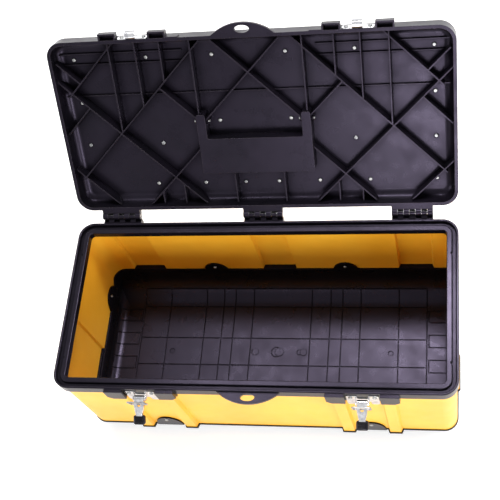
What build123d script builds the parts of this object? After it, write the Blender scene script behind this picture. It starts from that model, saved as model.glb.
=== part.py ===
from build123d import *
import os
from math import atan2, cos, degrees, hypot, radians, sin

# Sizes in millimetres. The ground is z = 0, the front is -Y and +X is the long way.

# Rim frame: lip, groove and inner lip, measured inwards from its outer edge
rim_width = 590.0
rim_depth = 272.0
rim_corner = 24.0
rim_top = 211.0
skirt_height = 18.0
outer_lip = 3.5
groove_width = 6.0
inner_lip_width = 8.0
inner_lip_drop = 2.0
inner_lip_height = 11.5
groove_depth = 6.0
groove_floor = 2.5
lip_round = 1.2
notch_radius = 2.6
notches_from_rear = (55.0, 224.0)

# Steel walls and their pressed ridges
wall = 0.8
wall_gap = 0.5
wall_bottom = 31.0
ridge_depth = 6.0
side_ridge_depth = 3.0
ridge_draft = 2.5
ridge_end = 180.0
front_ridge_width = 21.5
front_ridge_from_latch = 35.75
rear_ridge_width = 58.0
rear_ridge_from_end = 69.0
side_ridge_width = 58.0
side_ridge_y = -40.0

# Base tray
tray_thick = 2.6
tray_gap = 0.2
floor_thick = 3.0
tray_curve = 50.0
tray_end_curve = 20.0
flange_top = 51.0
end_flange_top = 42.0
end_flange_ramp = 15.0
bump_top = 53.0
end_bump_top = 46.5
lip_height = 4.0
lip_proud = 1.5
foot_slope = 13.0
tab_thick = 2.4
rear_tab_x = 110.0
side_tab_from_rear = 57.0
rear_tab_top = 73.0
side_tab_top = 65.0
front_tab_top = 63.0
rear_tab_width = 42.0
side_tab_width = 48.0
front_tab_width = 43.0
tab_rivet_drop = 13.0
front_rivet_drop = 8.5
floor_line = 1.8
floor_line_deep = 1.0
floor_cross_y = 23.8
floor_lines_from_end = (48.0, 94.0, 157.4, 188.0, 208.0, 240.0)
floor_line_from_side = 20.5
end_pad_length = 40.0
end_pad_height = 23.0
end_pad_from_end = 25.5
end_pads_y = (21.5, 64.5)
boss_x = 40.6
boss_radius = 5.5
boss_height = 0.6
gate_radius = 7.0
mark_from_end = 106.0
mark_radius = 4.5

# Hinges
hinge_out = 11.0
hinge_rise = 2.0
hinge_from_end = 68.0
hinge_pin_radius = 2.0
knuckle_radius = 5.5
knuckle_width = 8.2
knuckle_step = 8.8
bracket_width = 61.0
bracket_reach = 10.0
bracket_height = 12.0
cradle_mouth = 3.2
running_gap = 0.05
hinge_gap = 0.3
flap_rise = 1.1

# Latch bays on the front
latch_from_end = 133.0
pad_inner = 25.0
pad_outer = 52.0
pad_proud = 5.5
pad_height = 29.0
pad_corner = 7.0
bay_wall_height = 30.5

# Padlock eyes
eye_half = 48.0
eye_tip = 17.0
eye_thick = 5.0
eye_drop = 3.0
eye_hole_length = 21.0
eye_hole_width = 11.0
eye_hole_reach = 7.5

# Lid
lid_open = 124.6
lid_gap = 0.5
lid_lip = 5.0
panel_under = 25.0
panel_thick = 2.5
border_top = 30.5
border_width = 20.0
lid_outer_round = 8.0
lid_inner_round = 13.0
rib_thick = 1.8
rib_edge = 8.0
low_rib_height = 3.0
low_rib_from_end = 8.0
plate_thick = 0.8
plate_gap = 0.5
lug_inner = 24.0
lug_outer = 50.0
lug_proud = 9.5
lug_height = 10.5
lug_wall = 2.2
front_bump_from_latch = 58.5
front_bump_width = 19.0
front_bump_proud = 1.3

# Handle and its well
well_half = 85.5
well_arm = 13.5
well_front = 22.0
well_rear = 78.0
well_arm_front = -16.0
well_bottom = 5.0
well_wall = 2.0
well_corner = 3.0
handle_pin_y = -3.0
handle_pin_z = 16.5
handle_pin_radius = 2.5
handle_pin_past = 2.0
handle_boss_radius = 5.0
handle_boss_thick = 3.0
handle_side_gap = 0.6
handle_arm_wide = 10.0
handle_arm_thick = 9.0
handle_reach = 50.0
grip_wide = 22.0
grip_thick = 13.0
grip_round = 5.0

# Latch plate, lever, cap and bail, measured from the front of the rim and its top
latch_sheet = 1.4
plate_top_drop = 7.0
plate_half = 23.0
plate_height = 23.0
plate_notch_half = 7.8
plate_notch_deep = 12.0
wing_leg = 12.0
wing_inner = 11.0
latch_rivet_x = 17.0
latch_rivet_drop = 14.0
lever_pin_out = 8.5
lever_pin_drop = 14.5
lever_pin_radius = 1.6
ear_radius = 4.0
ear_inner = 8.2
lever_half = 7.3
lever_neck_half = 4.6
lever_sheet = 1.2
lever_slope = 28.0
lever_length = 27.0
lever_crown = 4.2
lever_belly = 3.2
lever_slot_start = 4.5
lever_slot_length = 7.5
lever_slot_half = 2.6
cap_start = 24.5
cap_length = 14.0
cap_half = 8.8
cap_above = 5.0
cap_below = 3.4
cap_round = 3.2
bail_arm = 9.0
bail_lead = 5.0
bail_half = 12.5
wire_radius = 1.2
bail_corner = 3.2
bail_stand = 100.0

# Keeper on the lid's front
keeper_sheet = 1.5
keeper_half = 22.5
keeper_bottom = 1.5
keeper_height = 13.0
keeper_rivet_x = 16.5
keeper_rivet_up = 8.5
hook_half = 7.35
hook_stand_off = 0.6
hook_inner = 4.8
hook_rise = 0.8
hook_tip = 5.0
wire_room = 0.3

# Rivets
rivet_shank = 1.6
rivet_room = 0.1
rivet_head = 3.0
rivet_head_height = 1.6
rivet_tail = 2.7
rivet_tail_height = 0.9
rivet_row = 34.2
rivet_column = 30.8
rivet_column_y = 34.4
front_rivets_x = (153.3, 54.1)
rear_rivets_x = (165.0, 89.2, 26.2)
middle_rivet_x = 147.4
well_rivet_x = 54.0

# Values worked out from the ones above
front_y = -rim_depth / 2
rear_y = rim_depth / 2
end_x = rim_width / 2
hinge_x = end_x - hinge_from_end
hinge_y = rear_y + hinge_out
latch_x = end_x - latch_from_end
front_bump_x = latch_x - front_bump_from_latch
rear_ridge_x = end_x - rear_ridge_from_end
side_tab_y = rear_y - side_tab_from_rear
hinge_z = rim_top + hinge_rise
bracket_top = hinge_z - knuckle_radius - hinge_gap
inner_lip_from = outer_lip + groove_width
rim_opening = inner_lip_from + inner_lip_width
wall_inset = outer_lip + wall_gap
wall_top = rim_top - groove_depth - groove_floor
tray_inset = wall_inset + wall + tray_gap
tray_outer_y = rear_y - tray_inset
tray_outer_x = end_x - tray_inset
panel_top = panel_under + panel_thick
handle_pin_outer = well_half + handle_boss_thick + handle_pin_past
handle_pin_inner = well_half - well_arm - handle_boss_thick - handle_pin_past
lever_travel = 90.0 - lever_slope

# Ridges: middle on the wall's outer face, the way they face, their width, depth and bump height
wall_front = (0.0, -1.0)
wall_rear = (0.0, 1.0)
wall_x = end_x - wall_inset
wall_y = rear_y - wall_inset
ridges = []
for side in (-1, 1):
    for step in (-1, 1):
        ridge_x = side * (latch_x + step * front_ridge_from_latch)
        ridges.append(((ridge_x, -wall_y), wall_front, front_ridge_width, ridge_depth, bump_top))
    side_middle = (side * wall_x, side_ridge_y)
    ridges.append((side_middle, (float(side), 0.0), side_ridge_width, side_ridge_depth, end_bump_top))
for ridge_x in (-rear_ridge_x, 0.0, rear_ridge_x):
    ridges.append(((ridge_x, wall_y), wall_rear, rear_ridge_width, ridge_depth, bump_top))

# The lid is drawn in its closed place on planes that are turned open about the hinge pins
turn = radians(lid_open)
lid_frame = Plane(
    origin=(
        0,
        hinge_y - hinge_y * cos(turn) - hinge_rise * sin(turn),
        hinge_z + hinge_y * sin(turn) - hinge_rise * cos(turn),
    ),
    x_dir=(1, 0, 0),
    z_dir=(0, sin(turn), cos(turn)),
)

# Latch pivots seen from the side, as (y, z)
lever_pin_y = front_y - lever_pin_out
lever_pin_z = rim_top - lever_pin_drop
lever_rest = radians(180.0 + lever_slope)
bail_pin_rest = radians(180.0 + lever_slope - bail_lead)
bail_pin_shut = radians(270.0 - bail_lead)
bail_pin_y = lever_pin_y + bail_arm * cos(bail_pin_rest)
bail_pin_z = lever_pin_z + bail_arm * sin(bail_pin_rest)
hook_y = front_y - hook_stand_off - keeper_sheet - hook_inner
hook_z = hook_rise - hook_inner + wire_radius + wire_room
bail_reach_y = hook_y - (lever_pin_y + bail_arm * cos(bail_pin_shut))
bail_reach_z = rim_top + hook_z - (lever_pin_z + bail_arm * sin(bail_pin_shut))
bail_length = hypot(bail_reach_y, bail_reach_z)

os.makedirs("parts", exist_ok=True)


def save(part, name):
    """Label a finished piece and write it to its own file."""
    part.label = name
    export_step(part, "parts/" + name + ".step")


def facing(plane):
    """Axis that points the way a plane faces, for picking faces and edges."""
    return Axis((0, 0, 0), plane.z_dir)


def plan(inset, mode=Mode.ADD):
    """Rounded outline of the rim, drawn in by a distance."""
    return RectangleRounded(
        rim_width - 2 * inset,
        rim_depth - 2 * inset,
        rim_corner - inset,
        mode=mode,
    )


def ridge_face(ridge, grow, root, mode=Mode.ADD):
    """Outline of one pressed ridge, grown by a distance and rooted some way inside the wall."""
    middle, outward, width, depth, _ = ridge
    along = (outward[1], -outward[0])
    half = width / 2 + grow
    corners = []
    for across, out in (
        (-half, -root),
        (half, -root),
        (half, grow),
        (half - ridge_draft, depth + grow),
        (ridge_draft - half, depth + grow),
        (-half, grow),
    ):
        x = middle[0] + across * along[0] + out * outward[0]
        y = middle[1] + across * along[1] + out * outward[1]
        corners.append((x, y))
    return Polygon(*corners, align=None, mode=mode)


def pressed_plan(grow):
    """Outline of the steel walls with all their ridges, grown by a distance."""
    plan(wall_inset - grow)
    for ridge in ridges:
        ridge_face(ridge, grow, rim_corner / 4)


def side_plane(x):
    """Upright plane across the part at x: right is +Y, up is +Z, it faces +X."""
    return Plane.YZ.offset(x)


def front_plane(y):
    """Upright plane along the part at y: right is +X, up is +Z, it faces -Y."""
    return Plane.XZ.offset(-y)


def lid_level(height):
    """Plane of the lid at a height above the closed rim."""
    return lid_frame.offset(height)


def lid_side(x):
    """Plane across the lid at x: right is the lid's +Y, up is its +Z, it faces +X."""
    return Plane(
        origin=lid_frame.from_local_coords((x, 0, 0)),
        x_dir=lid_frame.y_dir,
        z_dir=lid_frame.x_dir,
    )


def lid_front(y):
    """Plane along the lid at y: right is +X, up is the lid's +Z, it faces the lid's -Y."""
    return Plane(
        origin=lid_frame.from_local_coords((0, y, 0)),
        x_dir=lid_frame.x_dir,
        z_dir=lid_frame.y_dir * -1,
    )


def moved_plane(plane, x, y):
    """The same plane with its origin moved along its own two directions."""
    return Plane(
        origin=plane.from_local_coords((x, y, 0)),
        x_dir=plane.x_dir,
        z_dir=plane.z_dir,
    )


def rivet(seat, grip):
    """One rivet: domed head on the seat plane, shank through the grip, flat tail behind it."""
    with BuildPart() as piece:
        with BuildSketch(seat):
            Circle(rivet_head)
        extrude(amount=rivet_head_height)
        fillet(piece.faces().sort_by(facing(seat))[-1].edges(), rivet_head_height * 0.85)
        with BuildSketch(seat):
            Circle(rivet_shank)
        extrude(amount=-grip)
        with BuildSketch(seat.offset(-grip)):
            Circle(rivet_tail)
        extrude(amount=-rivet_tail_height)
    return piece.part


def rivet_group(seats, grip):
    """Separate rivets on a list of seat planes."""
    with BuildPart() as group:
        for seat in seats:
            add(rivet(seat, grip))
    return group.part


def tray_block(inset, bottom, curve, end_curve):
    """Block with the tray's plan, its long bottom edges and its end bottom edges rounded."""
    height = flange_top - bottom
    with BuildPart() as block:
        with BuildSketch(Plane.XY.offset(bottom)):
            plan(inset)
        extrude(amount=height)
        with BuildSketch(Plane.YZ) as across:
            with Locations((0, bottom)):
                Rectangle(rim_depth - 2 * inset, height * 2, align=(Align.CENTER, Align.MIN))
            fillet(across.vertices().group_by(Axis.Y)[0], curve)
        extrude(amount=rim_width, both=True, mode=Mode.INTERSECT)
        with BuildSketch(Plane.XZ) as along:
            with Locations((0, bottom)):
                Rectangle(rim_width - 2 * inset, height * 2, align=(Align.CENTER, Align.MIN))
            fillet(along.vertices().group_by(Axis.Y)[0], end_curve)
        extrude(amount=rim_width, both=True, mode=Mode.INTERSECT)
    return block.part


def hump(middle, foot, top, width):
    """Half-oval tab outline standing on a foot line."""
    with Locations((middle, foot)):
        Ellipse(width / 2, top - foot)
        Rectangle(width + 1, top, align=(Align.CENTER, Align.MAX), mode=Mode.SUBTRACT)


def eye_outline(tip):
    """Half-moon outline of a padlock eye on the front edge."""
    root = front_y + outer_lip / 2
    with BuildLine() as outline:
        ThreePointArc((-eye_half, root), (0, front_y - tip), (eye_half, root))
        Line((eye_half, root), (-eye_half, root))
    make_face(outline.edges())
    with Locations((0, front_y - eye_hole_reach)):
        Ellipse(eye_hole_length / 2, eye_hole_width / 2, mode=Mode.SUBTRACT)


# Seats of the rivets, each facing the side of its head
front_rivet_z = front_tab_top - front_rivet_drop
rear_rivet_z = rear_tab_top - tab_rivet_drop
side_rivet_z = side_tab_top - tab_rivet_drop
base_rivet_grip = tab_thick + wall + tray_gap
latch_rivet_grip = latch_sheet + outer_lip + wall_gap + wall
front_seat_y = -wall_y - tab_thick - tray_gap
rear_seat_y = tray_outer_y - tab_thick
side_seat_x = tray_outer_x - tab_thick
base_seats = []
for side in (-1, 1):
    base_seats.append(moved_plane(front_plane(front_seat_y), side * latch_x, front_rivet_z))
    base_seats.append(moved_plane(front_plane(rear_seat_y), side * rear_tab_x, rear_rivet_z))
    base_seats.append(
        Plane(
            origin=(side * side_seat_x, side_tab_y, side_rivet_z),
            x_dir=(0, 1, 0),
            z_dir=(-side, 0, 0),
        )
    )

# Rim frame
with BuildPart() as rim_frame:
    with BuildSketch(Plane.XY.offset(rim_top - skirt_height)):
        plan(0)
        plan(outer_lip, Mode.SUBTRACT)
    extrude(amount=skirt_height)
    fillet(rim_frame.edges().group_by(Axis.Z)[-1], lip_round)
    with BuildSketch(Plane.XY.offset(rim_top - inner_lip_drop - inner_lip_height)):
        plan(inner_lip_from)
        plan(rim_opening, Mode.SUBTRACT)
    extrude(amount=inner_lip_height)
    inner_lip_top = rim_top - inner_lip_drop
    fillet(rim_frame.edges().filter_by_position(Axis.Z, inner_lip_top, inner_lip_top), lip_round)
    with BuildSketch(Plane.XY.offset(wall_top)):
        plan(outer_lip / 2)
        plan(inner_lip_from + inner_lip_width / 2, Mode.SUBTRACT)
    extrude(amount=groove_floor)
    # Small notches in the inner lip
    with BuildSketch(Plane.XY.offset(inner_lip_top)):
        for side in (-1, 1):
            for inwards in notches_from_rear:
                with Locations((side * (end_x - inner_lip_from), rear_y - inwards)):
                    Circle(notch_radius)
    extrude(amount=inner_lip_drop - groove_depth, mode=Mode.SUBTRACT)
    # Latch bays: a wall behind each latch and a pad on each side of it
    with BuildSketch(front_plane(front_y)):
        for side in (-1, 1):
            with Locations((side * latch_x, rim_top - skirt_height / 2)):
                Rectangle(2 * pad_outer, bay_wall_height - skirt_height / 2, align=(Align.CENTER, Align.MAX))
    extrude(amount=-outer_lip)
    with BuildSketch(front_plane(front_y)):
        for side in (-1, 1):
            for hand in (-1, 1):
                near = side * latch_x + hand * pad_inner
                far = side * latch_x + hand * pad_outer
                top = rim_top - lip_round
                low = top - pad_height
                pad = [
                    (near, top),
                    (near, low),
                    (far - hand * pad_corner, low),
                    (far, low + pad_corner),
                    (far, top),
                ]
                Polygon(*pad[::hand], align=None)
    extrude(amount=pad_proud)
    # Padlock eye
    with BuildSketch(Plane.XY.offset(rim_top - eye_drop - eye_thick)):
        eye_outline(eye_tip)
    extrude(amount=eye_thick)
    # Hinge brackets with open-topped cradles for the pins
    for middle in (-hinge_x, 0.0, hinge_x):
        with BuildSketch(Plane.XY.offset(bracket_top)):
            with Locations((middle, rear_y - outer_lip / 2)):
                Rectangle(bracket_width, bracket_reach + outer_lip / 2, align=(Align.CENTER, Align.MIN))
        extrude(amount=-bracket_height)
        for step in (-2, 0, 2):
            with BuildSketch(side_plane(middle + step * knuckle_step - knuckle_width / 2)):
                with Locations((hinge_y, hinge_z)):
                    Circle(knuckle_radius)
                Polygon(
                    (rear_y, bracket_top - bracket_height),
                    (hinge_y + knuckle_radius * 0.5, hinge_z - knuckle_radius * 0.86),
                    (hinge_y, hinge_z),
                    (rear_y, bracket_top),
                    align=None,
                )
                with Locations((hinge_y, hinge_z)):
                    Circle(hinge_pin_radius, mode=Mode.SUBTRACT)
                    Rectangle(
                        cradle_mouth,
                        2 * knuckle_radius,
                        align=(Align.CENTER, Align.MIN),
                        mode=Mode.SUBTRACT,
                    )
            extrude(amount=knuckle_width)
    # Holes for the latch rivets
    with BuildSketch(front_plane(front_y)):
        for side in (-1, 1):
            for hand in (-1, 1):
                with Locations((side * latch_x + hand * latch_rivet_x, rim_top - latch_rivet_drop)):
                    Circle(rivet_shank + rivet_room)
    extrude(amount=-outer_lip, mode=Mode.SUBTRACT)
save(rim_frame.part, "rim_frame")

# Steel walls: plain above the ridges, pressed out below
with BuildPart() as body_shell:
    with BuildSketch(Plane.XY.offset(wall_bottom)):
        pressed_plan(0)
    extrude(amount=ridge_end - wall_bottom)
    with BuildSketch(Plane.XY.offset(ridge_end)):
        plan(wall_inset)
    extrude(amount=wall_top - ridge_end)
    with BuildSketch(Plane.XY.offset(wall_bottom)):
        pressed_plan(-wall)
    extrude(amount=ridge_end - wall - wall_bottom, mode=Mode.SUBTRACT)
    with BuildSketch(Plane.XY.offset(wall_bottom)):
        plan(wall_inset + wall)
    extrude(amount=wall_top - wall_bottom, mode=Mode.SUBTRACT)
    for seat in base_seats:
        with BuildSketch(seat):
            Circle(rivet_shank + rivet_room)
        extrude(amount=-2 * base_rivet_grip, mode=Mode.SUBTRACT)
    with BuildSketch(front_plane(front_y)):
        for side in (-1, 1):
            for hand in (-1, 1):
                with Locations((side * latch_x + hand * latch_rivet_x, rim_top - latch_rivet_drop)):
                    Circle(rivet_shank + rivet_room)
    extrude(amount=-2 * wall_inset, mode=Mode.SUBTRACT)
save(body_shell.part, "body_shell")

# Lines of the pan: across, along and round the pads at its ends, following its curves
inner_curve = tray_curve - tray_thick
inner_end_curve = tray_end_curve - tray_thick
floor_flat_y = tray_outer_y - tray_curve
floor_line_y = tray_outer_y - floor_line_from_side
line_reach = tray_outer_x - floor_lines_from_end[0]
with BuildPart() as floor_lines:
    with BuildSketch(Plane.XY):
        for side in (-1, 1):
            for y in end_pads_y:
                for hand in (-1, 1):
                    with Locations((side * (tray_outer_x - end_pad_from_end), hand * y)):
                        Rectangle(end_pad_length, end_pad_height)
                        Rectangle(
                            end_pad_length - 2 * floor_line,
                            end_pad_height - 2 * floor_line,
                            mode=Mode.SUBTRACT,
                        )
        for side in (-1, 1):
            for y in (floor_cross_y, floor_flat_y, floor_line_y):
                with Locations((0, side * y)):
                    Rectangle(2 * line_reach, floor_line)
            for inwards in floor_lines_from_end:
                with Locations((side * (tray_outer_x - inwards), 0)):
                    Rectangle(floor_line, 2 * floor_line_y)
    extrude(amount=end_flange_top)
    add(
        tray_block(
            tray_inset + tray_thick - floor_line_deep,
            floor_thick - floor_line_deep,
            inner_curve + floor_line_deep,
            inner_end_curve + floor_line_deep,
        ),
        mode=Mode.INTERSECT,
    )

# Base tray: sloping foot, lip under the steel, curved pan, tabs and floor pattern
with BuildPart() as base_tray:
    with BuildSketch(Plane.XY):
        plan(wall_inset + foot_slope)
    with BuildSketch(Plane.XY.offset(wall_bottom - lip_height)):
        plan(wall_inset)
    loft(ruled=True)
    with BuildSketch(Plane.XY):
        plan(wall_inset + foot_slope + tray_thick)
    with BuildSketch(Plane.XY.offset(wall_bottom - lip_height)):
        plan(wall_inset + tray_thick)
    loft(ruled=True, mode=Mode.SUBTRACT)
    with BuildSketch(Plane.XY.offset(wall_bottom - lip_height)):
        pressed_plan(lip_proud)
    extrude(amount=lip_height)
    add(tray_block(tray_inset, 0, tray_curve, tray_end_curve))
    for ridge in ridges:
        with BuildSketch(Plane.XY.offset(wall_bottom)):
            ridge_face(ridge, -wall - tray_gap, tray_thick)
        extrude(amount=ridge[-1] - wall_bottom)
    add(tray_block(tray_inset + tray_thick, floor_thick, inner_curve, inner_end_curve), mode=Mode.SUBTRACT)
    with BuildSketch(Plane.XY.offset(flange_top)):
        plan(tray_inset + tray_thick)
    extrude(amount=bump_top, mode=Mode.SUBTRACT)
    # The flange is lower along the ends
    ramp_foot = rear_y - rim_corner - end_flange_ramp
    with BuildSketch(Plane.YZ):
        Polygon(
            (-ramp_foot - end_flange_ramp, flange_top),
            (-ramp_foot, end_flange_top),
            (ramp_foot, end_flange_top),
            (ramp_foot + end_flange_ramp, flange_top),
            align=None,
        )
    extrude(amount=tray_outer_x, both=True, mode=Mode.SUBTRACT)
    # Tabs: two inside the rear wall, one inside each end, two outside the front wall
    with BuildSketch(front_plane(tray_outer_y)):
        for side in (-1, 1):
            hump(side * rear_tab_x, flange_top - tab_rivet_drop / 2, rear_tab_top, rear_tab_width)
    extrude(amount=tab_thick)
    for side in (-1, 1):
        with BuildSketch(side_plane(side * tray_outer_x)):
            hump(side_tab_y, end_flange_top - tab_rivet_drop / 2, side_tab_top, side_tab_width)
        extrude(amount=-side * tab_thick)
    with BuildSketch(front_plane(-wall_y - tray_gap)):
        for side in (-1, 1):
            hump(side * latch_x, wall_bottom - lip_height, front_tab_top, front_tab_width)
    extrude(amount=tab_thick)
    for seat in base_seats:
        with BuildSketch(seat):
            Circle(rivet_shank + rivet_room)
        extrude(amount=-tab_thick, mode=Mode.SUBTRACT)
    # Lines in the pan, bosses and round marks on its floor
    add(floor_lines.part, mode=Mode.SUBTRACT)
    with BuildSketch(Plane.XY.offset(floor_thick)):
        for side in (-1, 1):
            with Locations((side * (tray_outer_x - mark_from_end), 0)):
                Circle(mark_radius)
    extrude(amount=-floor_line_deep, mode=Mode.SUBTRACT)
    with BuildSketch(Plane.XY.offset(floor_thick)):
        for side in (-1, 1):
            with Locations((side * boss_x, 0)):
                Circle(boss_radius)
        Circle(gate_radius)
    extrude(amount=boss_height)
save(base_tray.part, "base_tray")

save(rivet_group(base_seats, base_rivet_grip), "base_rivets")

# Hinge pins
hinge_names = ("hinge_pin_left", "hinge_pin_middle", "hinge_pin_right")
for name, middle in zip(hinge_names, (-hinge_x, 0.0, hinge_x)):
    with BuildPart() as hinge_pin:
        with BuildSketch(side_plane(middle)):
            with Locations((hinge_y, hinge_z)):
                Circle(hinge_pin_radius)
        extrude(amount=bracket_width / 2, both=True)
    save(hinge_pin.part, name)

# Ribs on the right half of the lid, from end to end; each has a twin on the left
lattice = (
    ((66, -128), (280, 86)),
    ((86, 130), (290, -74)),
    ((84, 38), (176, 130)),
    ((82, -6), (135, -59)),
    ((196, -129), (277, -48)),
    ((227, 130), (289, 68)),
    ((247, -32), (289, 10)),
    ((255, -70), (287, -102)),
    ((-50, -128), (70.5, -7.5)),
    ((203, -130), (203, 9)),
    ((163, -130), (163, -31)),
    ((126, -130), (126, -68)),
    ((81, -130), (81, -12)),
    ((38, 76), (38, 130)),
    ((120, 98), (120, 130)),
    ((155, 109), (155, 130)),
)
low_rib_end = end_x - low_rib_from_end
low_ribs = (
    ((-low_rib_end, -46), (low_rib_end, -46)),
    ((98, -95), (low_rib_end, -95)),
    ((-low_rib_end, -95), (-98, -95)),
    ((-low_rib_end, -111), (-98, -111)),
    ((98, -111), (low_rib_end, -111)),
)


# The same ribs on both halves, sorted by the way they run
rising = []
falling = []
upright = []
for start, end in lattice:
    twin = ((-start[0], start[1]), (-end[0], end[1]))
    slope = (end[0] - start[0]) * (end[1] - start[1])
    if slope > 0:
        rising.append((start, end))
        falling.append(twin)
    elif slope < 0:
        falling.append((start, end))
        rising.append(twin)
    else:
        upright.append((start, end))
        upright.append(twin)


def rib_line(start, end, mode=Mode.ADD):
    """One straight rib drawn as a thin rectangle."""
    length = hypot(end[0] - start[0], end[1] - start[1])
    angle = degrees(atan2(end[1] - start[1], end[0] - start[0]))
    with Locations(((start[0] + end[0]) / 2, (start[1] + end[1]) / 2)):
        Rectangle(length, rib_thick, rotation=angle, mode=mode)


def well_outline(shrink, mode=Mode.ADD):
    """Outline of the handle's well: a trough and two arms, drawn in by a distance."""
    with BuildSketch(mode=Mode.PRIVATE) as outline:
        with Locations((0, (well_front + well_rear) / 2)):
            Rectangle(2 * (well_half - shrink), well_rear - well_front - 2 * shrink)
        for side in (-1, 1):
            with Locations((side * (well_half - well_arm / 2), (well_arm_front + well_rear) / 2)):
                Rectangle(well_arm - 2 * shrink, well_rear - well_arm_front - 2 * shrink)
        fillet(outline.vertices(), well_corner)
    add(outline.sketch, mode=mode)


# Rivets of the lid: an outer column, a front row, a rear row and a few between
lid_rivet_places = []
for side in (-1, 1):
    for y in (front_y + rivet_row, -rivet_column_y, rivet_column_y, rear_y - rivet_row):
        lid_rivet_places.append((side * (end_x - rivet_column), y))
    for x in front_rivets_x:
        lid_rivet_places.append((side * x, front_y + rivet_row))
    for x in rear_rivets_x:
        lid_rivet_places.append((side * x, rear_y - rivet_row))
    lid_rivet_places.append((side * middle_rivet_x, rivet_column_y))
    lid_rivet_places.append((side * well_rivet_x, 0.0))

# Lid shell
with BuildPart() as lid_shell:
    with BuildSketch(lid_level(lid_gap)):
        plan(0)
    extrude(amount=border_top - lid_gap)
    fillet(lid_shell.faces().sort_by(facing(lid_frame))[-1].edges(), lid_outer_round)
    with BuildSketch(lid_level(lid_gap)):
        plan(lid_lip)
    extrude(amount=panel_under - lid_gap, mode=Mode.SUBTRACT)
    panel = lid_shell.faces().filter_by(facing(lid_frame)).sort_by(facing(lid_frame))[-2]
    fillet(panel.edges(), lid_inner_round)
    with BuildSketch(lid_level(panel_top)):
        plan(border_width)
    extrude(amount=border_top - panel_top, mode=Mode.SUBTRACT)
    # Low ribs under the panel, broken where the tall ones cross them
    with BuildSketch(lid_level(panel_under - low_rib_height)):
        for start, end in low_ribs:
            rib_line(start, end)
        for start, end in rising + falling + upright:
            rib_line(start, end, Mode.SUBTRACT)
    extrude(amount=low_rib_height)
    # Handle well
    with BuildSketch(lid_level(well_bottom)):
        well_outline(0)
    extrude(amount=panel_top - well_bottom)
    for side in (-1, 1):
        for x, hand in (
            (side * well_half, side),
            (side * (well_half - well_arm), -side),
        ):
            with BuildSketch(lid_side(x - hand * well_wall / 2)):
                with Locations((handle_pin_y, handle_pin_z)):
                    Circle(handle_boss_radius)
            extrude(amount=hand * (handle_boss_thick + well_wall / 2))
    with BuildSketch(lid_level(well_bottom + well_wall)):
        well_outline(well_wall)
    extrude(amount=border_top, mode=Mode.SUBTRACT)
    for side in (-1, 1):
        with BuildSketch(lid_side(side * handle_pin_inner)):
            with Locations((handle_pin_y, handle_pin_z)):
                Circle(handle_pin_radius)
        extrude(amount=side * (handle_pin_outer - handle_pin_inner), mode=Mode.SUBTRACT)
    # Padlock eye, latch lugs and small pads on the front edge
    with BuildSketch(lid_level(lid_gap)):
        eye_outline(eye_tip)
    extrude(amount=eye_thick)
    with BuildSketch(lid_level(lid_gap)):
        for side in (-1, 1):
            for hand in (-1, 1):
                with Locations((side * latch_x + hand * (lug_inner + lug_outer) / 2, front_y + lid_lip / 2)):
                    Rectangle(
                        lug_outer - lug_inner,
                        lug_proud + lid_lip / 2,
                        align=(Align.CENTER, Align.MAX),
                    )
            with Locations((side * front_bump_x, front_y + lid_lip / 2)):
                Rectangle(
                    front_bump_width,
                    front_bump_proud + lid_lip / 2,
                    align=(Align.CENTER, Align.MAX),
                )
    extrude(amount=lug_height)
    with BuildSketch(lid_level(lid_gap)):
        for side in (-1, 1):
            for hand in (-1, 1):
                with Locations((side * latch_x + hand * (lug_inner + lug_outer) / 2, front_y)):
                    Rectangle(
                        lug_outer - lug_inner - 2 * lug_wall,
                        lug_proud - lug_wall,
                        align=(Align.CENTER, Align.MAX),
                    )
    extrude(amount=lug_height - lug_wall, mode=Mode.SUBTRACT)
    # Hinge knuckles and the flap that joins them
    for middle in (-hinge_x, 0.0, hinge_x):
        with BuildSketch(lid_side(middle - bracket_width / 2)):
            Polygon(
                (rear_y - lid_lip / 2, lid_gap),
                (hinge_y - knuckle_radius / 2, lid_gap),
                (hinge_y - knuckle_radius / 2, hinge_rise + knuckle_radius + flap_rise),
                (rear_y - lid_lip / 2, hinge_rise + 2 * knuckle_radius),
                align=None,
            )
            with Locations((hinge_y, hinge_rise)):
                Circle(knuckle_radius + hinge_gap, mode=Mode.SUBTRACT)
        extrude(amount=bracket_width)
        for step in (-3, -1, 1, 3):
            with BuildSketch(lid_side(middle + step * knuckle_step - knuckle_width / 2)):
                with Locations((hinge_y, hinge_rise)):
                    Circle(knuckle_radius)
                Polygon(
                    (rear_y - lid_lip / 2, lid_gap),
                    (hinge_y, lid_gap),
                    (hinge_y, hinge_rise + knuckle_radius),
                    (rear_y - lid_lip / 2, hinge_rise + 2 * knuckle_radius),
                    align=None,
                )
                with Locations((hinge_y, hinge_rise)):
                    Circle(hinge_pin_radius + running_gap, mode=Mode.SUBTRACT)
            extrude(amount=knuckle_width)
    # Holes for the rivets of the panel and of the keepers
    with BuildSketch(lid_level(panel_under)):
        with Locations(*lid_rivet_places):
            Circle(rivet_shank + rivet_room)
    extrude(amount=panel_thick, mode=Mode.SUBTRACT)
    with BuildSketch(lid_front(front_y)):
        for side in (-1, 1):
            for hand in (-1, 1):
                with Locations((side * latch_x + hand * keeper_rivet_x, keeper_rivet_up)):
                    Circle(rivet_shank + rivet_room)
    extrude(amount=-lid_lip, mode=Mode.SUBTRACT)
save(lid_shell.part, "lid_shell")

# Tall ribs of the lid: each way they run is one group, broken where an earlier group crosses it
rib_groups = (
    ("lid_ribs_rising", rising, []),
    ("lid_ribs_falling", falling, rising),
    ("lid_ribs_upright", upright, rising + falling),
)
for name, lines, crossed in rib_groups:
    with BuildPart() as ribs:
        with BuildSketch(lid_level(rib_edge)):
            for start, end in lines:
                rib_line(start, end)
            for start, end in crossed:
                rib_line(start, end, Mode.SUBTRACT)
            plan(lid_lip, Mode.INTERSECT)
            well_outline(0, Mode.SUBTRACT)
        extrude(amount=panel_under - rib_edge)
        add(lid_shell.part, mode=Mode.SUBTRACT)
    save(ribs.part, name)

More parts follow.
